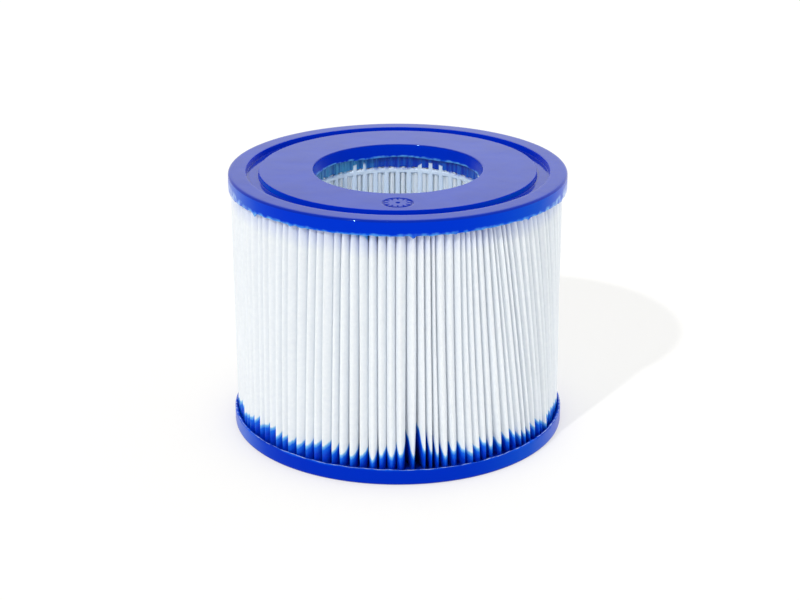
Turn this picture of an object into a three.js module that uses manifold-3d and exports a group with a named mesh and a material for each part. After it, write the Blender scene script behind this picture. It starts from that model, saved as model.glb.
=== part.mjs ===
// A pleated filter cartridge for a small spa pump.
//
// A sheet of non-woven polyester is folded into a ring of deep pleats round a slotted plastic core.
// The pleats and the core stand between two ring-shaped end caps of cast polyurethane, and each cap has
// a shallow pocket that their ends are bedded in. Water enters through the pleats and leaves by the bore.
//
// Units are millimetres. +Z is up along the cartridge's axis, the origin is the middle of the lower
// cap's outer face, and -Y is the front, where the upper cap has its small moulded mark.

import * as THREE from "three";
import { mergeVertices } from "three/addons/utils/BufferGeometryUtils.js";
import Module from "manifold-3d";

// Overall size.
const HEIGHT = 83;
const CAP_RADIUS = 52.5;
const BORE_RADIUS = 26.3;

// Clearance between pieces that the casting resin joins.
const GAP = 0.3;

// End caps: a disc with an outer lip and an inner lip, and a round groove in its outer face.
const TOP_CAP_HEIGHT = 4.5;
const BOTTOM_CAP_HEIGHT = 5.2;
const CAP_DISC = 2.8;
const LIP = 1;
const EDGE_ROUND = 0.8;
const LIP_ROUND = 0.3;
const GROOVE_INNER = 43;
const GROOVE_OUTER = 47;
const GROOVE_DEPTH = 1.7;
const CAP_SEGMENTS = 72;

// Moulded mark in the upper cap: a ring, a centre dot and a dial of ticks.
const MARK_AT = 35.5;
const MARK_RADIUS = 4.6;
const MARK_LINE = 0.6;
const MARK_DEPTH = 0.4;
const MARK_TICKS = 12;
const TICK_LENGTH = MARK_RADIUS / 4;
const TICK_WELD = 0.05;

// Core: upright ribs tied by hoops.
const CORE_INNER = BORE_RADIUS + LIP + GAP;
const CORE_WALL = 1.1;
const CORE_OUTER = CORE_INNER + CORE_WALL;
const RIBS = 48;
const RIB_WIDTH = 1.5;
const HOOPS = 5;
const HOOP_HEIGHT = 1.6;
const END_HOOP_AT = 9.2;

// Pleated media: one folded sheet, held here as arcs of a few pleats each, which meet at a root.
const ARCS = 14;
const PLEATS_PER_ARC = 9;
const PLEATS = ARCS * PLEATS_PER_ARC;
const SHEET = 0.5;
const MEDIA_INNER = CORE_OUTER + GAP;
const MEDIA_OUTER = CAP_RADIUS - LIP - GAP;
const CREST_WIDTH = 1.9;
const ROOT_WIDTH = 2 * SHEET + 0.1;

// The seam at the back takes half a pleat more than the pleats' own angle.
const SEAM_ANGLE = 0.5 * ((2 * Math.PI) / (PLEATS + 0.5));
const PLEAT_ANGLE = (2 * Math.PI - SEAM_ANGLE) / PLEATS;

// Side seam: a strip of hot-melt between the sheet's two ends, at the back of the cartridge.
const SEAM_STRIP = 0.4;
const SEAM_INNER = MEDIA_INNER + 1;
const SEAM_OUTER = 44;

// Height at which the pleats and the core start, and the direction of the front.
const BED = CAP_DISC + GAP;
const FRONT = -Math.PI / 2;

const RESIN = new THREE.MeshStandardMaterial({ color: 0x0434c8, roughness: 0.2, metalness: 0 });
const FLEECE = new THREE.MeshStandardMaterial({ color: 0xf2f5f7, roughness: 0.9, metalness: 0 });
const CORE_PLASTIC = new THREE.MeshStandardMaterial({ color: 0xe9edf0, roughness: 0.35, metalness: 0 });
const HOT_MELT = new THREE.MeshStandardMaterial({ color: 0xe6dfca, roughness: 0.5, metalness: 0 });

const wasm = await Module();
wasm.setup();

// A closed geometry as a manifold-3d solid, and back.
function solidOf(geometry) {
  const bare = geometry.clone();
  bare.deleteAttribute("normal");
  bare.deleteAttribute("uv");
  const merged = mergeVertices(bare, 1e-4);
  const vertProperties = merged.attributes.position.array;
  const triVerts = new Uint32Array(merged.index.array);
  return new wasm.Manifold(new wasm.Mesh({ numProp: 3, vertProperties, triVerts }));
}

function geometryOf(solid) {
  const mesh = solid.getMesh();
  const geometry = new THREE.BufferGeometry();
  geometry.setAttribute("position", new THREE.BufferAttribute(mesh.vertProperties, 3));
  geometry.setIndex(new THREE.BufferAttribute(mesh.triVerts, 1));
  geometry.computeVertexNormals();
  return geometry;
}

// A point at a radius and an angle in the XY plane.
function polar(radius, angle) {
  return new THREE.Vector2(radius * Math.cos(angle), radius * Math.sin(angle));
}

// The points of an arc about a centre, both ends included.
function arc(x, y, radius, from, to, steps) {
  return Array.from({ length: steps + 1 }, (_, i) => {
    const angle = from + ((to - from) * i) / steps;
    return new THREE.Vector2(x + radius * Math.cos(angle), y + radius * Math.sin(angle));
  });
}

// A profile in radius and height, turned round the Z axis. Its points run anticlockwise.
function turned(points, segments) {
  const closed = [...points, points[0]];
  return new THREE.LatheGeometry(closed, segments).rotateX(Math.PI / 2).rotateZ(FRONT);
}

// A cap of the given lip height, outer face down on z = 0, with its pocket facing up.
function capGeometry(height) {
  const profile = [
    ...arc(BORE_RADIUS + EDGE_ROUND, EDGE_ROUND, EDGE_ROUND, Math.PI, 1.5 * Math.PI, 2),
    new THREE.Vector2(GROOVE_INNER, 0),
    new THREE.Vector2(GROOVE_INNER, GROOVE_DEPTH),
    new THREE.Vector2(GROOVE_OUTER, GROOVE_DEPTH),
    new THREE.Vector2(GROOVE_OUTER, 0),
    ...arc(CAP_RADIUS - EDGE_ROUND, EDGE_ROUND, EDGE_ROUND, 1.5 * Math.PI, 2 * Math.PI, 3),
    new THREE.Vector2(CAP_RADIUS, height - LIP_ROUND),
    new THREE.Vector2(CAP_RADIUS - LIP_ROUND, height),
    new THREE.Vector2(CAP_RADIUS - LIP, height),
    new THREE.Vector2(CAP_RADIUS - LIP, CAP_DISC),
    new THREE.Vector2(BORE_RADIUS + LIP, CAP_DISC),
    new THREE.Vector2(BORE_RADIUS + LIP, height),
    new THREE.Vector2(BORE_RADIUS, height),
  ];
  return turned(profile, CAP_SEGMENTS);
}

// The solid that the mark removes, standing through z = 0, centred on the origin.
function markSolid() {
  const through = { depth: 2 * MARK_DEPTH, bevelEnabled: false, curveSegments: 24 };
  const ring = new THREE.Shape().absarc(0, 0, MARK_RADIUS, 0, 2 * Math.PI);
  ring.holes.push(new THREE.Path().absarc(0, 0, MARK_RADIUS - MARK_LINE, 0, 2 * Math.PI, true));
  let mark = solidOf(new THREE.ExtrudeGeometry(ring, through).translate(0, 0, -MARK_DEPTH));
  const dot = new THREE.CylinderGeometry(MARK_LINE, MARK_LINE, through.depth, 12).rotateX(Math.PI / 2);
  mark = mark.add(solidOf(dot));
  for (let i = 0; i < MARK_TICKS; i++) {
    const tick = new THREE.BoxGeometry(TICK_LENGTH, MARK_LINE / 2, through.depth);
    tick.translate(MARK_RADIUS - MARK_LINE - TICK_LENGTH / 2 + TICK_WELD, 0, 0);
    tick.rotateZ((2 * Math.PI * i) / MARK_TICKS);
    mark = mark.add(solidOf(tick));
  }
  return mark;
}

// A slotted tube on a grid of angles and heights: ribs run its full height, and hoops close the slots.
function coreGeometry() {
  const ribHalf = RIB_WIDTH / 2 / CORE_INNER;
  const step = (2 * Math.PI) / RIBS;
  const angles = Array.from({ length: 2 * RIBS }, (_, i) => {
    return FRONT + Math.floor(i / 2) * step + (i % 2 ? ribHalf : -ribHalf);
  });
  const hoopStep = (HEIGHT - 2 * END_HOOP_AT) / (HOOPS - 1);
  const heights = [BED];
  for (let i = 0; i < HOOPS; i++) {
    const middle = END_HOOP_AT + i * hoopStep;
    heights.push(middle - HOOP_HEIGHT / 2, middle + HOOP_HEIGHT / 2);
  }
  heights.push(HEIGHT - BED);

  const columns = angles.length;
  const rows = heights.length - 1;
  const solidCell = (column, row) => row >= 0 && row < rows && (column % 2 === 0 || row % 2 === 1);
  const positions = [];
  const indices = [];
  for (const radius of [CORE_INNER, CORE_OUTER]) {
    for (const z of heights) {
      for (const angle of angles) {
        const at = polar(radius, angle);
        positions.push(at.x, at.y, z);
      }
    }
  }
  const corner = (side, row, column) => (side * heights.length + row) * columns + (column % columns);
  const quad = (a, b, c, d) => indices.push(a, b, c, a, c, d);
  for (let column = 0; column < columns; column++) {
    const before = (column + columns - 1) % columns;
    for (let row = 0; row < rows; row++) {
      if (!solidCell(column, row)) continue;
      const at = (side, up, along) => corner(side, row + up, column + along);
      quad(at(1, 0, 0), at(1, 0, 1), at(1, 1, 1), at(1, 1, 0));
      quad(at(0, 0, 1), at(0, 0, 0), at(0, 1, 0), at(0, 1, 1));
      if (!solidCell(column, row - 1)) quad(at(0, 0, 0), at(0, 0, 1), at(1, 0, 1), at(1, 0, 0));
      if (!solidCell(column, row + 1)) quad(at(0, 1, 1), at(0, 1, 0), at(1, 1, 0), at(1, 1, 1));
      if (!solidCell(before, row)) quad(at(0, 0, 0), at(1, 0, 0), at(1, 1, 0), at(0, 1, 0));
      if (!solidCell(column + 1, row)) quad(at(1, 0, 1), at(0, 0, 1), at(0, 1, 1), at(1, 1, 1));
    }
  }
  const geometry = new THREE.BufferGeometry();
  geometry.setAttribute("position", new THREE.Float32BufferAttribute(positions, 3));
  geometry.setIndex(indices);
  geometry.computeVertexNormals();
  return geometry;
}

// One arc of the folded sheet. Its plan runs out along the outer face, and back along the inner face.
function mediaGeometry(firstPleat) {
  const crest = CREST_WIDTH / 2;
  const rootHalfGap = (PLEAT_ANGLE * (MEDIA_INNER + SHEET) - ROOT_WIDTH) / 2;
  const start = -FRONT + SEAM_ANGLE / 2;
  const outerFace = [];
  const innerFace = [];
  const put = (list, radius, middle, across) => list.push(polar(radius, middle + across / radius));
  for (let i = firstPleat; i < firstPleat + PLEATS_PER_ARC; i++) {
    const rootBefore = start + i * PLEAT_ANGLE;
    const middle = rootBefore + PLEAT_ANGLE / 2;
    const rootAfter = rootBefore + PLEAT_ANGLE;
    put(outerFace, MEDIA_INNER + SHEET, rootBefore, rootHalfGap);
    put(outerFace, MEDIA_OUTER, middle, -crest);
    put(outerFace, MEDIA_OUTER, middle, crest);
    put(outerFace, MEDIA_INNER + SHEET, rootAfter, -rootHalfGap);
    put(innerFace, MEDIA_INNER, rootBefore, rootHalfGap + SHEET);
    put(innerFace, MEDIA_OUTER - SHEET, middle, SHEET - crest);
    put(innerFace, MEDIA_OUTER - SHEET, middle, crest - SHEET);
    put(innerFace, MEDIA_INNER, rootAfter, -rootHalfGap - SHEET);
  }
  const plan = new THREE.Shape([...outerFace, ...innerFace.reverse()]);
  const depth = HEIGHT - 2 * BED;
  return new THREE.ExtrudeGeometry(plan, { depth, bevelEnabled: false }).translate(0, 0, BED);
}

function seamGeometry() {
  const length = SEAM_OUTER - SEAM_INNER;
  const strip = new THREE.BoxGeometry(SEAM_STRIP, length, HEIGHT - 2 * BED);
  return strip.translate(0, SEAM_INNER + length / 2, HEIGHT / 2);
}

function named(name, geometry, material) {
  const mesh = new THREE.Mesh(geometry, material);
  mesh.name = name;
  return mesh;
}

const bottomCap = named("bottom_end_cap", capGeometry(BOTTOM_CAP_HEIGHT), RESIN);
const topCap = named(
  "top_end_cap",
  geometryOf(solidOf(capGeometry(TOP_CAP_HEIGHT)).subtract(markSolid().translate([0, MARK_AT, 0]))),
  RESIN,
);
topCap.rotation.x = Math.PI;
topCap.position.z = HEIGHT;

const cartridge = new THREE.Group();
cartridge.add(
  bottomCap,
  topCap,
  named("core", coreGeometry(), CORE_PLASTIC),
  named("side_seam_strip", seamGeometry(), HOT_MELT),
);
for (let arcNumber = 1; arcNumber <= ARCS; arcNumber++) {
  const name = `pleated_media_${String(arcNumber).padStart(2, "0")}`;
  cartridge.add(named(name, mediaGeometry((arcNumber - 1) * PLEATS_PER_ARC), FLEECE));
}
export default cartridge;
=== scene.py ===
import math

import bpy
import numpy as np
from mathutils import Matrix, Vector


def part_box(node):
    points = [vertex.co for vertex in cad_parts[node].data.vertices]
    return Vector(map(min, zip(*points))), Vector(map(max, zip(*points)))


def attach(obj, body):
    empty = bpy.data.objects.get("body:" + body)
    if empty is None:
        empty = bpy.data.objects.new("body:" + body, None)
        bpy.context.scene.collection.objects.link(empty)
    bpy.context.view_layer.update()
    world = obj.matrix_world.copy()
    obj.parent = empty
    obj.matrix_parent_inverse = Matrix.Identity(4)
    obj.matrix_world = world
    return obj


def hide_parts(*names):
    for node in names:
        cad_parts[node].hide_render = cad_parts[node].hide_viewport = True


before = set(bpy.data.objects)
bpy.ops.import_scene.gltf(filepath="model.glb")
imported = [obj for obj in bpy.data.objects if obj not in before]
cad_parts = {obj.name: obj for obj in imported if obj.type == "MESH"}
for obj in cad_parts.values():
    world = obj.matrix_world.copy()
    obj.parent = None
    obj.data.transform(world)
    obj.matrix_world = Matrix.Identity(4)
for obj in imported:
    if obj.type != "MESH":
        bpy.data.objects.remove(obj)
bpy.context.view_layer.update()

# The looks of a pleated filter cartridge: two cast resin caps, a folded fleece, a slotted core with a film
# of resin inside it, and a side seam. Lengths are millimetres until a mesh is written, where MM turns them
# into metres. Angles are radians, counted from +X towards +Y unless they are said to be from the front.

MM = 0.001


# ---------------------------------------------------------------- sizes

def node_box(*nodes):
    """The lowest and highest corners of some CAD nodes together, in millimetres."""
    boxes = np.array([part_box(node) for node in nodes]) / MM
    return boxes[:, 0].min(axis=0), boxes[:, 1].max(axis=0)


# From the CAD. A lip is a cap's whole height, and PACK is the height that the fleece and core fill.
MEDIA_NODES = sorted(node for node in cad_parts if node.startswith("pleated_media"))
CAP_RADIUS = node_box("top_end_cap")[1][0]
HEIGHT = node_box("top_end_cap")[1][2]
TOP_LIP = HEIGHT - node_box("top_end_cap")[0][2]
BOTTOM_LIP = node_box("bottom_end_cap")[1][2]
PACK_LOW = node_box(*MEDIA_NODES)[0][2]
PACK_HIGH = node_box(*MEDIA_NODES)[1][2]
MEDIA_OUTER = node_box(*MEDIA_NODES)[1][0]
CORE_OUTER = node_box("core")[1][0]
SEAM_INNER = node_box("side_seam_strip")[0][1]
SEAM_OUTER = node_box("side_seam_strip")[1][1]

# The caps: LIP is the thickness of the rims that stand round the pleats and round the core.
BORE_RADIUS = 26.3
LIP = 1.0
GROOVE_INNER = 43.0
GROOVE_OUTER = 47.0
GROOVE_DEPTH = 1.7
FRONT = -math.pi / 2
BACK = math.pi / 2

# The moulded mark, MARK_AT out from the axis on the upper face.
MARK_AT = 35.5
MARK_RADIUS = 4.6
MARK_REACH = MARK_RADIUS + 0.4
MARK_LINE = 0.6
MARK_DEPTH = 0.4
MARK_TICKS = 12

# The core, and the film of resin that ran down between its ribs.
CORE_WALL = 1.1
RIBS = 48
RIB_WIDTH = 1.5
HOOPS = 5
HOOP_HEIGHT = 1.6
END_HOOP_AT = 9.2
RIB_EDGE = 0.45
FILM = 0.3
FILM_BEHIND_RIBS = 0.2

# The fleece, 0.5 mm thick. The side seam takes up half a pleat's share of the ring.
PLEATS = 126
HALF_SHEET = 0.25
SEAM_ANGLE = 0.5 * 2 * math.pi / (PLEATS + 0.5)
MEDIA_START = BACK + SEAM_ANGLE / 2
MEDIA_SPAN = 2 * math.pi - SEAM_ANGLE


# ---------------------------------------------------------------- mesh tools

def volume(points, faces):
    """Six times the volume that quads or triangles enclose: it is positive where they face out."""
    total = 0.0
    for k in range(1, faces.shape[1] - 1):
        a, b, c = (points[faces[:, i]] for i in (0, k, k + 1))
        total += float((a * np.cross(b, c)).sum())
    return total


def add_piece(name, points, faces, material, slot, *replaced, sharp=40):
    """A closed mesh in millimetres becomes a piece that stands for some CAD nodes."""
    if volume(points, faces) < 0:
        faces = faces[:, ::-1]
    mesh = bpy.data.meshes.new(name)
    mesh.from_pydata((points * MM).tolist(), [], faces.tolist())
    mesh.shade_smooth()
    mesh.set_sharp_from_angle(angle=math.radians(sharp))
    mesh.materials.append(material)
    piece = bpy.data.objects.new(name, mesh)
    bpy.context.collection.objects.link(piece)
    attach(piece, "root")
    if replaced:
        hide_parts(*replaced)
    return piece


def set_attribute(piece, name, values):
    """One number for each point of a piece, which its material reads by name."""
    piece.data.attributes.new(name, "FLOAT", "POINT").data.foreach_set("value", values.astype(np.float32))


def grid_faces(rows, columns, wrap_rows=False, wrap_columns=True):
    """Quads between the points of a grid that is stored row by row."""
    r = np.arange(rows if wrap_rows else rows - 1)
    c = np.arange(columns if wrap_columns else columns - 1)
    r, c = (a.ravel() for a in np.meshgrid(r, c, indexing="ij"))
    up, along = (r + 1) % rows, (c + 1) % columns
    return np.stack([r * columns + c, r * columns + along, up * columns + along, up * columns + c], 1)


def smoothstep(low, high, x):
    """0 at low and 1 at high, with a smooth slope between. It falls where low is above high."""
    t = np.clip((x - low) / (high - low), 0, 1)
    return t * t * (3 - 2 * t)


def wave(angle, rng, cycles, size):
    """A smooth random ripple round a ring, made of the given numbers of cycles."""
    ripple = np.zeros_like(angle)
    for n in cycles:
        ripple += rng.normal() * np.cos(n * angle + rng.uniform(0, 2 * math.pi))
    return size * ripple / math.sqrt(len(cycles) / 2)


def rounded(corners, steps=5):
    """The closed outline through corners (x, y, fillet), each turned on an arc of its fillet radius."""
    outline = []
    for i, (x, y, radius) in enumerate(corners):
        here = np.array([x, y])
        before = np.array(corners[i - 1][:2]) - here
        after = np.array(corners[(i + 1) % len(corners)][:2]) - here
        before /= np.linalg.norm(before)
        after /= np.linalg.norm(after)
        half = math.acos(float(before @ after)) / 2
        centre = here + (before + after) / np.linalg.norm(before + after) * radius / math.sin(half)
        start = here + before * radius / math.tan(half) - centre
        end = here + after * radius / math.tan(half) - centre
        sweep = math.pi - 2 * half
        for t in np.linspace(0, 1, steps + 1):
            turn = math.sin((1 - t) * sweep) * start + math.sin(t * sweep) * end
            outline.append(centre + turn / math.sin(sweep))
    return np.array(outline)


def subdivided(outline, longest):
    """The closed outline with points added so that no span is longer than longest(middle of the span)."""
    points = []
    for here, after in zip(outline, np.roll(outline, -1, axis=0)):
        pieces = max(1, math.ceil(np.linalg.norm(after - here) / longest((here + after) / 2)))
        points += [here + (after - here) * k / pieces for k in range(pieces)]
    return np.array(points)


# ---------------------------------------------------------------- materials

def srgb(red, green, blue):
    """A colour given as 0 to 255 on screen, as linear light."""
    def light(v):
        v /= 255
        return v / 12.92 if v <= 0.04045 else ((v + 0.055) / 1.055) ** 2.4
    return (light(red), light(green), light(blue), 1.0)


class Nodes:
    """Builds one material's nodes. An input is given by its name, as a value or as another node's output."""

    def __init__(self, name, **surface):
        self.material = bpy.data.materials.new(name)
        self.material.use_nodes = True
        self.tree = self.material.node_tree
        self.shader = self.tree.nodes["Principled BSDF"]
        self.set(self.shader, surface)

    def set(self, node, values):
        for key, value in values.items():
            socket = node.inputs[key]
            if isinstance(value, bpy.types.NodeSocket):
                self.tree.links.new(value, socket)
            else:
                socket.default_value = value

    def add(self, kind, inputs=None, **settings):
        node = self.tree.nodes.new("ShaderNode" + kind)
        for key, value in settings.items():
            setattr(node, key, value)
        self.set(node, inputs or {})
        return node

    def math(self, operation, *values):
        return self.add("Math", dict(enumerate(values)), operation=operation).outputs[0]

    def position(self):
        """The place on the piece, in metres and in the shared frame."""
        return self.add("TexCoord").outputs["Object"]

    def part(self, vector, axis):
        return self.add("SeparateXYZ", {"Vector": vector}).outputs[axis]

    def attribute(self, name):
        return self.add("Attribute", attribute_name=name).outputs["Fac"]

    def between(self, value, low, high, at_low=0.0, at_high=1.0):
        """A straight line from at_low to at_high while a value goes from low to high, and level outside."""
        return self.add("MapRange", {"Value": value, "From Min": low, "From Max": high,
                                     "To Min": at_low, "To Max": at_high}).outputs[0]

    def noise(self, at, scale, detail=2.0, roughness=0.5):
        values = {"Vector": at, "Scale": scale, "Detail": detail, "Roughness": roughness}
        return self.add("TexNoise", values).outputs["Fac"]

    def ramp(self, value, stops):
        """A colour ramp through (place, colour or grey) stops."""
        ramp = self.add("ValToRGB", {"Fac": value})
        elements = ramp.color_ramp.elements
        while len(elements) < len(stops):
            elements.new(1.0)
        for element, (place, colour) in zip(elements, stops):
            element.position = place
            element.color = colour if isinstance(colour, tuple) else (colour, colour, colour, 1.0)
        return ramp.outputs["Color"]

    def mix(self, factor, a, b):
        """A mix of two colours: a where factor is 0, and b where it is 1."""
        return self.add("Mix", {0: factor, 6: a, 7: b}, data_type="RGBA").outputs[2]

    def bump(self, height, strength, distance, under=None):
        """The normal of a relief, on top of another one where that is given."""
        values = {"Height": height, "Strength": strength, "Distance": distance}
        if under is not None:
            values["Normal"] = under
        return self.add("Bump", values).outputs["Normal"]


# The cast resin's colours: its body, and painted light: a dark reflection and a highlight on the edges, a
# glow towards the lip, and a sheen on the walls and on the fringe; then the tint of its gloss.
RESIN_BLUE = srgb(0, 44, 174)
RESIN_DEEP = srgb(0, 36, 160)
RESIN_EDGE_DARK_REFLECTION = srgb(0, 36, 164)
RESIN_PAINTED_GLOW = srgb(4, 84, 216)
RESIN_PAINTED_SHEEN = srgb(2, 84, 204)
GROOVE_EDGE_HIGHLIGHT = srgb(0, 42, 190)
FRINGE_PAINTED_SHEEN = srgb(186, 208, 246)
RESIN_GLINT = (0.12, 0.4, 1.0, 1.0)
EDGE_GLINT = (0.35, 0.62, 1.0, 1.0)


def resin_material(name, lip_z, face_z, wall, fringe):
    """Glossy cast polyurethane with flow marks and fine pits, thin at the lip and painted lighter there as if
    light came through.

    wall is the colour of its upright faces, painted brighter than the face's blue, and fringe is the colour
    of its feathered edge on the pleats; on the lower cap that edge is a thin pale line along the rims, a
    painted highlight.
    """
    n = Nodes(name, **{"IOR": 1.38})
    at = n.position()

    # Where a point is: upright is 1 on the walls, rounding is 1 on the edges between them and the flat faces.
    facing = n.math("ABSOLUTE", n.part(n.add("NewGeometry").outputs["Normal"], "Z"))
    upright = n.between(facing, 0.6, 0.1)
    rounding = n.ramp(facing, [(0.15, 0.0), (0.4, 1.0), (0.8, 1.0), (0.97, 0.0)])
    groove = n.attribute("groove")
    toward_lip = n.between(n.part(at, "Z"), face_z * MM, lip_z * MM)

    # Colour: cloudy, with a painted glow towards the lip, lighter as if light came through it, and pale where
    # it is feathered out.
    cloud = n.noise(at, 90, detail=3)
    painted_glow = n.math("ADD", toward_lip, n.math("MULTIPLY", n.math("SUBTRACT", cloud, 0.5), 0.35))
    body = n.mix(n.ramp(cloud, [(0.35, 0.0), (0.75, 1.0)]), RESIN_BLUE, RESIN_DEEP)
    # Painted sheen: the walls turn a paler teal in two places, where the band turns away.
    wall = n.mix(n.attribute("thin"), wall, RESIN_PAINTED_SHEEN)
    # Colour by facing, all painted light: the upright faces take the wall colour, a brighter blue than the
    # face's; the rounded edges take a dark line that stands in for a dark reflection, and a lighter blue on
    # the groove's edges that stands in for a highlight.
    body = n.mix(rounding, n.mix(upright, body, wall), n.mix(groove, RESIN_EDGE_DARK_REFLECTION, GROOVE_EDGE_HIGHLIGHT))
    colour = n.mix(n.ramp(painted_glow, [(0.88, 0.0), (1.0, 1.0)]), body, RESIN_PAINTED_GLOW)
    # Painted sheen: the fringe turns pale on the upper cap's two sides, where the band turns away.
    fringe = n.mix(n.attribute("starved_and_sheen"), fringe, FRINGE_PAINTED_SHEEN)
    # On the lower cap the feather is only a thin pale line along the rims' top edges: a painted highlight.
    broken = n.ramp(n.noise(at, 420), [(0.35, 0.15), (0.65, 1.0)])
    broken = n.math("MULTIPLY", n.attribute("feather"), broken)
    colour = n.mix(n.ramp(broken, [(0.15, 0.0), (0.7, 0.9)]), colour, fringe)

    # Gloss: blue in tint, and on the walls it grows towards the outline.
    wall_gloss = n.between(n.add("LayerWeight", {"Blend": 0.5}).outputs["Facing"], 0.48, 0.85, 0.08, 0.6)
    fillet_gloss = n.between(groove, 0, 1, 0.35, 0.03)
    gloss = n.between(upright, 0, 1, 0.5, wall_gloss)
    gloss = n.between(rounding, 0, 1, gloss, fillet_gloss)
    tint = n.mix(rounding, RESIN_GLINT, EDGE_GLINT)

    # Surface: smeared gloss, flow marks and pits.
    smear = n.noise(at, 260, detail=4, roughness=0.6)
    roughness = n.mix(upright, n.ramp(smear, [(0.3, 0.06), (0.8, 0.12)]), (0.3, 0.3, 0.3, 1.0))
    roughness = n.mix(rounding, roughness, (0.08, 0.08, 0.08, 1.0))
    flow = n.bump(n.noise(at, 90, detail=2), 0.16, 0.0006)
    pits = n.bump(n.noise(at, 2200, detail=3), 0.05, 0.0001, under=flow)
    n.set(n.shader, {"Base Color": colour, "Roughness": roughness, "Normal": pits,
                     "Specular IOR Level": gloss, "Specular Tint": tint})
    return n.material


def streaks(n, at):
    """Fine upright streaks round the axis, from 0 to 1."""
    low = n.math("MULTIPLY", n.part(at, "Z"), 0.06)
    squashed = n.add("CombineXYZ", {"X": n.part(at, "X"), "Y": n.part(at, "Y"), "Z": low}).outputs[0]
    return n.ramp(n.noise(squashed, 900, detail=1), [(0.35, 0.0), (0.65, 1.0)])


def thin_resin(n, at):
    """The colour of resin that has run down inside the pack as a film: teal in places, with streaks."""
    aside = n.math("MULTIPLY", n.part(at, "X"), 9.0)
    teal = n.ramp(n.math("SUBTRACT", n.noise(at, 26, detail=0), aside), [(0.42, 0.0), (0.58, 1.0)])
    dark = n.mix(teal, srgb(0, 48, 178), srgb(14, 100, 176))
    pale = n.mix(teal, srgb(16, 92, 200), srgb(70, 156, 206))
    return n.mix(streaks(n, at), dark, pale)


def core_material():
    """White moulded polypropylene. Resin has coated most ribs above the end hoops, and missed a few."""
    n = Nodes("core_plastic", **{"IOR": 1.49, "Subsurface Weight": 0.15, "Subsurface Scale": 0.002,
                                 "Subsurface Radius": (1.0, 1.0, 1.0)})
    at = n.position()
    height = n.part(at, "Z")
    patch = n.ramp(n.noise(at, 75, detail=1), [(0.36, 0.0), (0.44, 1.0)])
    climb = n.math("MULTIPLY", patch, 0.0036)
    climb = n.math("ADD", climb, n.math("MULTIPLY", n.noise(at, 500, detail=1), 0.0012))
    from_top = n.math("SUBTRACT", (HEIGHT - TOP_LIP) * MM, height)
    from_bottom = n.math("SUBTRACT", height, BOTTOM_LIP * MM)
    wet = n.math("SUBTRACT", climb, n.math("MINIMUM", from_top, from_bottom))
    stain = n.between(wet, -0.0003, 0.0009)
    # Painted light: the white is bluer than plain white, standing in for the bluish light inside the bore.
    white = n.mix(n.noise(at, 140, detail=2), srgb(222, 238, 255), srgb(230, 243, 255))
    colour = n.mix(stain, white, thin_resin(n, at))
    texture = n.bump(n.noise(at, 1500, detail=2), 0.06, 0.0001)
    roughness = n.ramp(n.noise(at, 400, detail=2), [(0.3, 0.16), (0.8, 0.3)])
    n.set(n.shader, {"Base Color": colour, "Roughness": roughness, "Normal": texture})
    return n.material


def fleece_material():
    """Bonded polyester fibres, dyed where resin has wicked into both ends, with painted shade and painted
    light.

    It has wicked further in the folds than on the crests. A point's reach is how far it has come there.
    """
    n = Nodes("fleece", **{"IOR": 1.4, "Specular IOR Level": 0.15, "Subsurface Weight": 0.6,
                           "Subsurface Scale": 0.0012, "Subsurface Radius": (1.0, 1.0, 1.0)})
    at = n.position()
    height = n.part(at, "Z")

    # How far a point is inside the soaked part of either end.
    along = n.attribute("along")
    flat = n.add("CombineXYZ", {"X": along, "Y": height}).outputs[0]
    places = n.add("CombineXYZ", {"X": along, "Y": n.math("MULTIPLY", height, 0.15)}).outputs[0]
    uneven = n.math("MULTIPLY", n.math("SUBTRACT", n.noise(places, 600, detail=2), 0.5), 2.0 * MM)
    low = n.math("SUBTRACT", n.attribute("low_reach"), n.math("SUBTRACT", height, BOTTOM_LIP * MM))
    high = n.math("SUBTRACT", n.attribute("high_reach"), n.math("SUBTRACT", (HEIGHT - TOP_LIP) * MM, height))
    nearer = n.math("ADD", n.math("MAXIMUM", low, high), uneven)
    soaked = n.between(nearer, -0.0010, 0.0030)
    painted_shade_under_top_cap = n.between(high, -0.0075, 0.0)

    # Colour: from dry through a light blue fringe to soaked outside, and with a film of resin inside.
    mottle = n.noise(flat, 700, detail=4, roughness=0.6)
    dry = n.mix(n.ramp(mottle, [(0.3, 0.0), (0.75, 1.0)]), srgb(233, 239, 247), srgb(240, 245, 251))
    # Painted shade: a lilac tint on the flanks just under the upper cap, strongest in the folds.
    dry = n.mix(n.math("MULTIPLY", painted_shade_under_top_cap, 0.6), dry, srgb(176, 188, 242))
    fringe = n.mix(n.ramp(soaked, [(0.02, 0.0), (0.18, 1.0)]), dry, srgb(110, 184, 238))
    wet = n.mix(n.ramp(soaked, [(0.2, 0.0), (0.45, 1.0)]), fringe, srgb(8, 98, 226))
    outside = n.mix(n.ramp(soaked, [(0.5, 0.0), (1.0, 1.0)]), wet, srgb(0, 58, 200))
    # Painted shade: dark navy deep in the folds near the foot, where the gaps between the pleats are in
    # shade.
    painted_fold_shade = n.between(nearer, 0.0045, 0.011)
    outside = n.mix(painted_fold_shade, outside, srgb(0, 22, 104))
    # Painted light: inside the bore the sheet is lighter and bluer than outside, so it shows bright between
    # the core's ribs.
    pale = n.mix(streaks(n, at), srgb(232, 244, 255), srgb(244, 251, 255))
    inside = n.mix(n.ramp(soaked, [(0.05, 0.0), (0.4, 1.0)]), pale, thin_resin(n, at))
    colour = n.mix(n.attribute("inner"), outside, inside)
    roughness = n.ramp(soaked, [(0.25, 0.85), (0.8, 0.3)])

    strands = n.add("TexNoise", {"Vector": flat, "Scale": 3200, "Detail": 3, "Distortion": 1.5})
    fibres = n.bump(strands.outputs["Fac"], 0.35, 0.00012)
    soft = n.bump(mottle, 0.25, 0.0002, under=fibres)
    n.set(n.shader, {"Base Color": colour, "Roughness": roughness, "Normal": soft})
    return n.material


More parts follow.
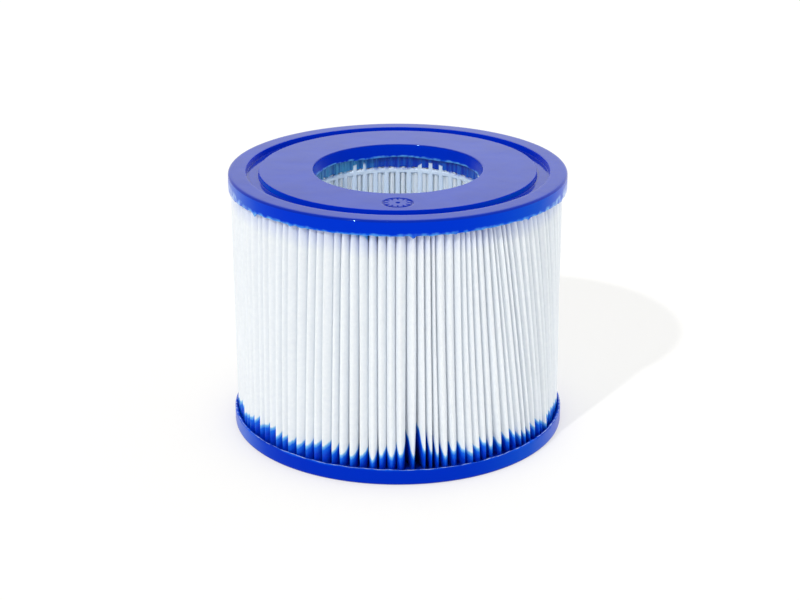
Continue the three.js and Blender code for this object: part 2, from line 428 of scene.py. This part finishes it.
def hot_melt_material():
    """Cream hot-melt glue with a lumpy, half glossy skin."""
    n = Nodes("hot_melt", **{"IOR": 1.48, "Subsurface Weight": 0.3, "Subsurface Scale": 0.002})
    at = n.position()
    tint = n.mix(n.noise(at, 200, detail=3), srgb(226, 219, 196), srgb(240, 236, 220))
    lumps = n.bump(n.noise(at, 500, detail=2), 0.4, 0.0003)
    roughness = n.ramp(n.noise(at, 300), [(0.3, 0.35), (0.8, 0.6)])
    n.set(n.shader, {"Base Color": tint, "Roughness": roughness, "Normal": lumps})
    return n.material


# ---------------------------------------------------------------- end caps

def mark_depth(x, y):
    """How deep the moulded mark is at a place on the upper face: a ring, a dial of ticks and a dot.

    Each figure is a distance to its edge, which is negative inside it.
    """
    across, out = x, y + MARK_AT
    away = np.hypot(across, out)
    half_line, tick, slope = MARK_LINE / 2, MARK_RADIUS / 4, 0.16
    ring = np.abs(away - (MARK_RADIUS - half_line)) - half_line
    dot = away - MARK_LINE
    step = 2 * math.pi / MARK_TICKS
    turn = np.arctan2(out, across)
    turn -= step * np.round(turn / step)
    beside_tick = np.abs(away * np.sin(turn)) - half_line / 2
    beyond_tick = np.abs(away * np.cos(turn) - (MARK_RADIUS - MARK_LINE - tick / 2)) - tick / 2
    figure = np.minimum(np.minimum(ring, dot), np.maximum(beside_tick, beyond_tick))
    return MARK_DEPTH * smoothstep(slope, -slope, figure)


def drips(angles, rng, count, size):
    """Small runs of resin at random places round a ring."""
    half_width, tallest = 0.011, 1.0
    runs = np.zeros_like(angles)
    for place, tall in zip(rng.uniform(0, 2 * math.pi, count), rng.exponential(size, count)):
        away = (angles - place + math.pi) % (2 * math.pi) - math.pi
        runs += tall * np.exp(-(away / half_width) ** 2)
    return np.minimum(runs, tallest)


def cap_outline(lip, pool, marked):
    """A cap's closed outline as points (radius, level), with the level counted from its outer face.

    It is 0 at the outer face, pool at the bottom of the trough and lip at the two rims.
    """
    corners = [
        (BORE_RADIUS, 0, 0.35),
        (GROOVE_INNER, 0, 0.25),
        (GROOVE_INNER + 0.05, GROOVE_DEPTH, 0.3),
        (GROOVE_OUTER - 0.05, GROOVE_DEPTH, 0.3),
        (GROOVE_OUTER, 0, 0.25),
        (CAP_RADIUS, 0, 0.75),
        (CAP_RADIUS, lip, 0.3),
        (CAP_RADIUS - LIP, lip - 0.45, 0.1),
        (CAP_RADIUS - LIP, pool, 0.3),
        (BORE_RADIUS + LIP, pool, 0.3),
        (BORE_RADIUS + LIP, lip, 0.3),
        (BORE_RADIUS, lip, 0.35),
    ]
    mark_span, plain_span, hidden_span = 0.15, 0.8, 4.0

    def longest(middle):
        """Short spans where the mark is, and long ones on the trough's flat bottom, which is out of sight."""
        radius, level = middle
        if marked and level == 0 and abs(radius - MARK_AT) < MARK_REACH:
            return mark_span
        return hidden_span if abs(level - pool) < 0.01 else plain_span

    return subdivided(rounded(corners), longest)


def cap_angles(marked):
    """The angles that a cap's outline is placed at, which are closer together beside the mark."""
    if not marked:
        return FRONT + np.linspace(0, 2 * math.pi, 480, endpoint=False)
    reach = MARK_REACH / MARK_AT
    beside_mark = FRONT + np.linspace(-reach, reach, 76)
    elsewhere = np.linspace(FRONT + reach, FRONT + 2 * math.pi - reach, 400)[1:-1]
    return np.concatenate([beside_mark, elsewhere])


def cap(name, lip, pool, wall, fringe, rng, marked):
    """A cap as its outline carried round the axis. The upper one is the marked one, and it is turned over."""
    outline = cap_outline(lip, pool, marked)
    angles = cap_angles(marked)
    radius, level = outline[:, 0][None, :], outline[:, 1][None, :]
    turn = angles[:, None]
    x, y = radius * np.cos(turn), radius * np.sin(turn)

    def lobe(at, width):
        """1 at an angle from the front, falling off to both sides of it."""
        return np.exp(-((from_front(angles) - at) / width) ** 2)

    # The walls are painted a paler teal in two places, a painted sheen where the band turns away. The upper
    # lip hangs lower all round, and lowest on its two sides, where it was short of resin and is drawn out
    # over the pleats in a long feather, painted pale there as a sheen.
    thin = lobe(-1.2, 0.28) + 0.8 * lobe(1.0, 0.38)
    starved_and_sheen = lobe(-1.4, 0.3) + lobe(1.4, 0.3) if marked else np.zeros_like(angles)
    feather_tall = 0.9 + 3.2 * starved_and_sheen[:, None] if marked else 0.3
    feather = smoothstep(lip - feather_tall, lip - 0.1, level) * (radius > GROOVE_OUTER + 1)
    feather = np.where(radius < BORE_RADIUS + LIP / 2, smoothstep(lip - 0.75, lip - 0.3, level), feather)

    # The rims are uneven: rim is how far a point is up one, and outer tells the outer rim from the inner one.
    rim = smoothstep(pool, lip - 0.4, level)
    outer = smoothstep(CAP_RADIUS - 2 * LIP, CAP_RADIUS - LIP, radius)
    ripple = wave(angles, rng, (2, 3, 5, 8, 13), 0.08) + wave(angles, rng, (41, 67, 97, 126), 0.05)
    ripple += drips(angles, rng, 60, 0.2 if marked else 0.05)
    if marked:
        ripple += 0.4 + 0.4 * starved_and_sheen
    swell = wave(angles, rng, (2, 3, 4, 7), 0.25) + wave(angles, rng, (19, 31, 48), 0.1)
    height = level + rim * (outer * ripple[:, None] + (1 - outer) * swell[:, None])

    # The outer face has the mark, and isn't quite flat.
    if marked:
        height = height + np.where(level < 1e-6, mark_depth(x, y), 0)
    sag = wave(angles, rng, (2, 3), 0.02)[:, None] * smoothstep(pool, 0, height)
    height = np.maximum(height + np.abs(sag), 0)

    z = HEIGHT - height if marked else height
    lip_z, face_z = (HEIGHT - lip, HEIGHT) if marked else (lip, 0)
    points = np.stack([x, y, z], -1).reshape(-1, 3)
    faces = grid_faces(len(angles), len(outline), wrap_rows=True)
    material = resin_material(name + "_resin", lip_z, face_z, wall, fringe)
    piece = add_piece(name, points, faces, material, "cast_resin", name, sharp=50)
    in_groove = (radius > GROOVE_INNER - 0.6) & (radius < GROOVE_OUTER + 0.6) & (level < pool / 2)
    looks = {"feather": feather, "thin": thin[:, None], "starved_and_sheen": starved_and_sheen[:, None], "groove": in_groove}
    for key, values in looks.items():
        set_attribute(piece, key, np.broadcast_to(values, x.shape).ravel())
    return piece


# ---------------------------------------------------------------- core

def core():
    """The slotted tube on a grid of angles and heights, with every edge rounded by a bevel.

    Even columns of the grid are ribs, odd rows are hoops, and the other cells are windows.
    """
    inner = CORE_OUTER - CORE_WALL
    half = RIB_WIDTH / 2 / inner
    step = 2 * math.pi / RIBS
    angles = [FRONT + (i // 2) * step + (half if i % 2 else -half) for i in range(2 * RIBS)]
    heights = [PACK_LOW]
    for i in range(HOOPS):
        middle = END_HOOP_AT + i * (HEIGHT - 2 * END_HOOP_AT) / (HOOPS - 1)
        heights += [middle - HOOP_HEIGHT / 2, middle + HOOP_HEIGHT / 2]
    heights.append(PACK_HIGH)
    columns, rows = len(angles), len(heights) - 1
    points = [
        (radius * math.cos(a), radius * math.sin(a), z)
        for radius in (inner, CORE_OUTER) for z in heights for a in angles
    ]
    faces = []

    def filled(column, row):
        return 0 <= row < rows and (column % 2 == 0 or row % 2 == 1)

    def wall(*corners):
        """Adds a quad between four corners, each given as its side (0 is the inner one), row and column."""
        faces.append([(side * len(heights) + row) * columns + column % columns
                      for side, row, column in corners])

    for c in range(columns):
        for r in range(rows):
            if not filled(c, r):
                continue
            wall((1, r, c), (1, r, c + 1), (1, r + 1, c + 1), (1, r + 1, c))
            wall((0, r, c + 1), (0, r, c), (0, r + 1, c), (0, r + 1, c + 1))
            if not filled(c, r - 1):
                wall((0, r, c), (0, r, c + 1), (1, r, c + 1), (1, r, c))
            if not filled(c, r + 1):
                wall((0, r + 1, c + 1), (0, r + 1, c), (1, r + 1, c), (1, r + 1, c + 1))
            if not filled(c - 1, r):
                wall((0, r, c), (1, r, c), (1, r + 1, c), (0, r + 1, c))
            if not filled(c + 1, r):
                wall((1, r, c + 1), (0, r, c + 1), (0, r + 1, c + 1), (1, r + 1, c + 1))
    piece = add_piece("core_tube", np.array(points), np.array(faces), core_material(), "core_plastic", "core")
    bevel = piece.modifiers.new("rounded_edges", "BEVEL")
    bevel.width = RIB_EDGE * MM
    bevel.segments = 3
    bevel.angle_limit = math.radians(40)
    bevel.harden_normals = True
    return piece


def film_material():
    """The same resin where it is a thin, uneven skin."""
    n = Nodes("resin_film", **{"IOR": 1.45, "Roughness": 0.25})
    at = n.position()
    n.set(n.shader, {"Base Color": thin_resin(n, at), "Normal": n.bump(n.noise(at, 700), 0.2, 0.0002)})
    return n.material


def resin_film(rng):
    """Resin that ran down inside the core from the upper cap: a thin skin between the ribs, ragged below."""
    inner = CORE_OUTER - CORE_WALL + FILM_BEHIND_RIBS
    corners = [(inner, 0), (inner + FILM, 0), (inner + FILM, 1), (inner, 1)]
    outline = rounded([(*corner, 0.1) for corner in corners], steps=2)
    angles = np.linspace(0, 2 * math.pi, 720, endpoint=False)
    top = HEIGHT - TOP_LIP + 0.5
    low = HEIGHT - END_HOOP_AT + HOOP_HEIGHT / 2 + 0.3
    low += np.abs(wave(angles, rng, (3, 5, 9, 17), 0.35) + wave(angles, rng, (61, 97, 140), 0.25))
    radius, turn = outline[:, 0][None, :], angles[:, None]
    z = low[:, None] + (top - low)[:, None] * outline[:, 1][None, :]
    points = np.stack([radius * np.cos(turn), radius * np.sin(turn), z], -1).reshape(-1, 3)
    faces = grid_faces(len(angles), len(outline), wrap_rows=True)
    return add_piece("resin_film", points, faces, film_material(), "cast_resin")


# ---------------------------------------------------------------- pleated fleece

def from_front(angle):
    """An angle counted from the front, between -pi and pi. It grows towards +X."""
    return (angle - FRONT + math.pi) % (2 * math.pi) - math.pi


def lean(angle):
    """How far a pleat's foot leans round the ring from its head, in radians. It is 0 on most of the ring."""
    off = from_front(angle)
    right = smoothstep(0.25, 0.85, off) * smoothstep(3.0, 1.5, off)
    left = smoothstep(-0.15, -0.5, off) * smoothstep(-1.8, -1.2, off)
    return 0.21 * right - 0.04 * left


def sway(angle, s):
    """How far pleats near the front shift at a level s, from -1 at the foot to 1 at the head, in radians.

    At their feet the front ones are squeezed together, and the ones to their right are kicked aside a little.
    """
    off = from_front(angle)
    foot = ((1 - s) / 2) ** 2
    squeezed = -0.5 * off * np.exp(-(off / 0.05) ** 2) * foot ** 2
    kicked = 0.012 * smoothstep(0.02, 0.14, off) * smoothstep(0.7, 0.3, off) * foot
    return squeezed + kicked


def crowded(off):
    """1 for the crowded pleats at the front, falling to 0 beside them."""
    return np.exp(-(off / 0.11) ** 2)


def pleat_angles(rng, uneven, off, s):
    """The edges between the pleats at their crests, and the roots they fold back at.

    Both are angles, one for each pleat's side at every level. Pleats to the left of the front are roomier,
    and the front ones are crushed at their feet. Roots are nearly even.
    """
    roomy = smoothstep(-1.5, -1.1, off) * smoothstep(0.0, -0.2, off)
    crushed = rng.normal(0, 0.2, (PLEATS, 1)) * crowded(off) * ((1 - s) / 2) ** 1.5
    width = 1 + 0.25 * roomy + uneven(0.15, 0.06, 0.04) + crushed
    width = np.maximum(width, 0.5)
    width *= MEDIA_SPAN / width.sum(axis=0)
    edges = MEDIA_START + np.concatenate([np.zeros((1, len(s))), np.cumsum(width, axis=0)])
    edges += sway(edges, s) - lean(edges) * s / 2
    even = MEDIA_START + np.linspace(0, MEDIA_SPAN, PLEATS + 1)[:, None]
    return edges, 0.08 * edges + 0.92 * even


def local(angle, out, across):
    """The point at a distance out along a direction and a distance across it."""
    return np.stack([out * np.cos(angle) - across * np.sin(angle),
                     out * np.sin(angle) + across * np.cos(angle)], -1)


def bowed(a, b, bend):
    """The point halfway from a to b, pushed sideways by bend."""
    sideways = np.stack([-(b - a)[..., 1], (b - a)[..., 0]], -1)
    sideways /= np.linalg.norm(sideways, axis=-1, keepdims=True)
    return (a + b) / 2 + sideways * bend[..., None]


def thick_sheet(line, z):
    """The closed mesh of a sheet whose middle runs along a line at every height z."""
    tangent = np.gradient(line, axis=0)
    tangent /= np.linalg.norm(tangent, axis=-1, keepdims=True)
    normal = np.stack([tangent[..., 1], -tangent[..., 0]], -1)
    loop = np.concatenate([line + normal * HALF_SHEET, (line - normal * HALF_SHEET)[::-1]])
    levels, ring = len(z), len(loop)
    heights = np.broadcast_to(z[:, None, None], (levels, ring, 1))
    points = np.concatenate([loop.transpose(1, 0, 2), heights], -1).reshape(-1, 3)
    k = np.arange(len(line) - 1)
    lower_end = np.stack([k, ring - 1 - k, ring - 2 - k, k + 1], 1)
    upper_end = lower_end[:, ::-1] + (levels - 1) * ring
    return points, np.concatenate([grid_faces(levels, ring), lower_end, upper_end])


def pleated_media(rng):
    """One sheet folded into pleats, each with an uneven crest, two flanks and half a root beside them."""
    # The heights are closer together towards both ends, where the folds change the most.
    levels = 23
    share = np.linspace(0, 1, levels)
    share = share - 0.6 * np.sin(2 * math.pi * share) / (2 * math.pi)
    z = PACK_LOW + (PACK_HIGH - PACK_LOW) * share
    s = 2 * share - 1
    above_low_lip, below_top_lip = z - BOTTOM_LIP, HEIGHT - TOP_LIP - z
    basis = np.stack([np.ones_like(s), s, s * s - 0.4])

    def uneven(*sizes):
        """A smooth random amount for every pleat at every height: its level, its slope and its bend."""
        return (rng.normal(size=(PLEATS, 3)) * sizes) @ basis

    off = from_front(MEDIA_START + (np.arange(PLEATS) + 0.5) * MEDIA_SPAN / PLEATS)[:, None]
    edges, roots = pleat_angles(rng, uneven, off, s)
    middle = (edges[:-1] + edges[1:]) / 2
    aside = from_front(middle)

    # Crests: an uneven reach, a fold that is no wider than its room, and a pinch where the resin grips it.
    foot = np.exp(-above_low_lip / rng.uniform(2, 8, (PLEATS, 1))) * rng.uniform(0.2, 1, (PLEATS, 1))
    foot *= 0.45 + 0.55 * smoothstep(-0.6, -0.1, aside)
    head = np.exp(-below_top_lip / 4) * rng.uniform(0.3, 1, (PLEATS, 1))
    reach = MEDIA_OUTER + 0.1 + uneven(0.14, 0.07, 0.07) - 0.45 * np.cos(middle) * (s + 1) / 2
    reach -= 0.3 * foot + 0.45 * head
    room = (edges[1:] - edges[:-1]) / 2 * (reach - 1) - 0.04
    fold_half = 1.4 + uneven(0.08, 0.04, 0.03) - 0.5 * crowded(off) * np.exp(-(above_low_lip / 24) ** 2)
    crest_wide = np.minimum(room, fold_half) * (1 - 0.34 * foot - 0.2 * head) - HALF_SHEET
    crest_deep = 1.6 + 0.9 * crowded(off) * np.exp(-(above_low_lip / 12) ** 2)
    swept = 0.5 * smoothstep(-0.1, -0.45, off) + 0.25 * smoothstep(0.15, 0.5, off)
    tip_aside = uneven(0.22, 0.08, 0.08) - swept
    crest = [
        local(middle, reach - HALF_SHEET - crest_deep * abs(across) ** 1.5,
              crest_wide * across + tip_aside * (1 - abs(across)))
        for across in (-1, -0.8, -0.55, -0.28, 0, 0.28, 0.55, 0.8, 1)
    ]

    # Roots: round folds that bulge a little into the core's windows.
    root_half = 0.47
    bulge = 0.8 * smoothstep(0.25, 0.8, 0.5 - 0.5 * np.cos(RIBS * (roots - FRONT)))
    root_at = CORE_OUTER + 0.08 + HALF_SHEET - bulge

    def root(pleats, places):
        """Points on some roots' folds, at places (out, across) counted in root_half."""
        angle, out_at = roots[pleats], root_at[pleats]
        return [local(angle, out_at + root_half * out, root_half * across) for out, across in places]

    out_of_root = root(slice(None, -1), [(0, 0), (0.06, 0.72), (0.55, 1)])
    into_root = root(slice(1, None), [(0.55, -1), (0.06, -0.72)])
    end_of_sheet = root(slice(-1, None), [(0, 0)])[0]

    # The whole sheet in one line, with a random bow in each flank.
    bow = (rng.normal(size=(2, PLEATS, 3)) * [0.05, 0.03, 0.03]) @ basis
    fold = [*out_of_root, bowed(out_of_root[-1], crest[0], bow[0]), *crest,
            bowed(crest[-1], into_root[0], bow[1]), *into_root]
    line = np.concatenate([np.stack(fold, 1).reshape(-1, levels, 2), end_of_sheet])
    points, faces = thick_sheet(line, z)
    piece = add_piece("pleated_fleece", points, faces, fleece_material(), "fleece", *MEDIA_NODES, sharp=80)

    # For the fleece's look, every point knows how far along the sheet it is, and how far resin rises there.
    # The resin has soaked each crest by its own amount, and more behind it, where the folds drew it in.
    lengths = np.linalg.norm(np.diff(line, axis=0), axis=-1).mean(axis=1)
    distance = np.concatenate([[0], np.cumsum(lengths)])

    def spread(values):
        """One value for each pleat at each height becomes one for each point."""
        values = np.repeat(np.broadcast_to(values, reach.shape), len(fold), axis=0)
        values = np.concatenate([values, values[-1:]])
        return np.concatenate([values, values[::-1]]).T.ravel()

    radius = np.hypot(points[:, 0], points[:, 1])
    behind = np.maximum(spread(reach) - radius, 0)
    beside = 1 - np.exp(-behind / 0.5)
    deep = 1 - np.exp(-(behind / 2.2) ** 2)
    left = smoothstep(-0.2, -0.5, aside) * smoothstep(-1.7, -1.3, aside)
    low = 2.2 + 0.7 * left + 1.1 * np.exp(-((aside - 0.12) / 0.3) ** 2)
    low = np.maximum(low + rng.normal(0, 0.8, (PLEATS, 1)), 0.2)
    high = rng.exponential(0.3, (PLEATS, 1)) - 1.25
    low_drawn_in, high_drawn_in, inner_zone = 3.6 + 7 * crowded(off), 2.6, 3
    set_attribute(piece, "along", np.tile(np.concatenate([distance, distance[::-1]]) * MM, levels))
    # low_reach also places the painted shade deep in the folds at the foot, most at the crowded front.
    set_attribute(piece, "low_reach", (spread(low) + 0.3 * beside + spread(low_drawn_in) * deep) * MM)
    # high_reach also places the painted shade under the upper cap.
    set_attribute(piece, "high_reach", (spread(high) + 0.3 * beside + high_drawn_in * deep) * MM)
    # inner marks the part of the sheet that is painted lighter inside the bore.
    set_attribute(piece, "inner", (radius < CORE_OUTER + inner_zone).astype(float))
    return piece


def seam_strip(rng):
    """A squeezed bead of hot-melt between the sheet's two ends."""
    outline = rounded([(-0.2, SEAM_INNER, 0.15), (0.2, SEAM_INNER, 0.15),
                       (0.25, SEAM_OUTER, 0.2), (-0.25, SEAM_OUTER, 0.2)], steps=3)
    outline = subdivided(outline, lambda middle: 1.2)
    z = np.linspace(PACK_LOW, PACK_HIGH, 60)
    rows, columns = len(z), len(outline)
    edge = smoothstep(SEAM_OUTER - 3, SEAM_OUTER, outline[:, 1])
    run = wave(z / 12, rng, (1, 2, 3, 5), 0.35)
    points = np.stack([
        np.broadcast_to(outline[:, 0], (rows, columns)),
        outline[None, :, 1] + run[:, None] * edge[None, :],
        np.broadcast_to(z[:, None], (rows, columns)),
    ], -1).reshape(-1, 3)
    # Each end is closed by a fan of triangles round its middle.
    low, high, last_row = len(points), len(points) + 1, (rows - 1) * columns
    middle = (SEAM_INNER + SEAM_OUTER) / 2
    points = np.concatenate([points, [[0, middle, PACK_LOW], [0, middle, PACK_HIGH]]])
    sides = grid_faces(rows, columns)
    triangles = np.concatenate([
        sides[:, [0, 1, 2]], sides[:, [0, 2, 3]],
        [[low, (k + 1) % columns, k] for k in range(columns)],
        [[high, last_row + k, last_row + (k + 1) % columns] for k in range(columns)],
    ])
    return add_piece("seam_bead", points, triangles, hot_melt_material(), "hot_melt", "side_seam_strip")


# ---------------------------------------------------------------- floor, light and camera

def floor():
    """White paper that glows a little, so that it stays nearly white outside the cartridge's shadow."""
    mesh = bpy.data.meshes.new("floor")
    reach = 4.0
    paper, glow, glow_strength = (0.46, 0.45, 0.44, 1.0), (1.0, 0.985, 0.965, 1.0), 0.517
    corners = [(-reach, -reach, 0), (reach, -reach, 0), (reach, reach, 0), (-reach, reach, 0)]
    mesh.from_pydata(corners, [], [(0, 1, 2, 3)])
    n = Nodes("floor_paper", **{"Roughness": 0.9, "Specular IOR Level": 0.1, "Base Color": paper,
                                "Emission Color": glow, "Emission Strength": glow_strength})
    mesh.materials.append(n.material)
    plane = bpy.data.objects.new("floor", mesh)
    bpy.context.collection.objects.link(plane)


def studio():
    """A plain pale room, a little brighter towards the right, the back and below."""
    level, slope, colour = 0.97, (0.24, 0.22, -0.06), (0.955, 0.985, 0.995, 1.0)
    world = bpy.data.worlds.new("studio")
    bpy.context.scene.world = world
    world.use_nodes = True
    tree = world.node_tree
    direction = tree.nodes.new("ShaderNodeTexCoord").outputs["Generated"]
    across = tree.nodes.new("ShaderNodeVectorMath")
    across.operation = "DOT_PRODUCT"
    across.inputs[1].default_value = slope
    tree.links.new(direction, across.inputs[0])
    strength = tree.nodes.new("ShaderNodeMath")
    strength.operation = "ADD"
    strength.inputs[1].default_value = level
    tree.links.new(across.outputs["Value"], strength.inputs[0])
    background = tree.nodes["Background"]
    background.inputs["Color"].default_value = colour
    tree.links.new(strength.outputs[0], background.inputs["Strength"])


def lamp(name, kind, energy, colour, toward, **settings):
    """A lamp that shines along a direction."""
    light = bpy.data.lights.new(name, kind)
    light.energy = energy
    light.color = colour
    for key, value in settings.items():
        setattr(light, key, value)
    holder = bpy.data.objects.new(name, light)
    bpy.context.collection.objects.link(holder)
    holder.rotation_euler = toward.to_track_quat("-Z", "Y").to_euler()
    return holder


def lights():
    """The sun from the front left, and a small cool spot on the far side of the bore's mouth."""
    from_front_left = Vector((0.411, 0.625, -0.663))
    lamp("key", "SUN", 1.16, (1.0, 0.99, 0.97), from_front_left, angle=math.radians(1.8))
    spot_at, bore_mouth = Vector((-0.05, -0.38, 0.54)), Vector((0, 0, HEIGHT * MM))
    fill = lamp("bore_fill", "SPOT", 3, (0.8, 0.92, 1.0), bore_mouth - spot_at,
                spot_size=math.radians(4.6), spot_blend=0.6, shadow_soft_size=0.03)
    fill.location = spot_at


def camera():
    """The view from a little above the cartridge's front: pitch is how far it looks down, in degrees."""
    distance, height = 0.5275, 0.2407
    pitch, yaw = 19.305, -0.076
    focal_length, shift = 79.8345, -0.0625
    lens = bpy.data.cameras.new("camera")
    lens.sensor_width = 36
    lens.lens = focal_length
    lens.shift_y = shift
    lens.clip_start = 0.01
    view = bpy.data.objects.new("camera", lens)
    bpy.context.collection.objects.link(view)
    view.location = (0, -distance, height)
    view.rotation_euler = (math.radians(90 - pitch), 0, math.radians(yaw))
    bpy.context.scene.camera = view


# ---------------------------------------------------------------- the scene

bpy.context.scene.view_settings.view_transform = "Standard"
camera()
studio()
lights()
floor()
# Each cap's wall colour is painted light: a brighter blue than its face's, a little darker on the lower cap.
cap("bottom_end_cap", lip=BOTTOM_LIP, pool=BOTTOM_LIP - 1.2, wall=srgb(0, 43, 186),
    # The lower cap's fringe colour is a painted highlight along its rims' top edges.
    fringe=srgb(182, 206, 248), rng=np.random.default_rng(11), marked=False)
cap("top_end_cap", lip=TOP_LIP, pool=TOP_LIP - 0.7, wall=srgb(0, 48, 198),
    fringe=srgb(96, 172, 234), rng=np.random.default_rng(12), marked=True)
core()
resin_film(np.random.default_rng(7))
pleated_media(np.random.default_rng(5))
seam_strip(np.random.default_rng(3))
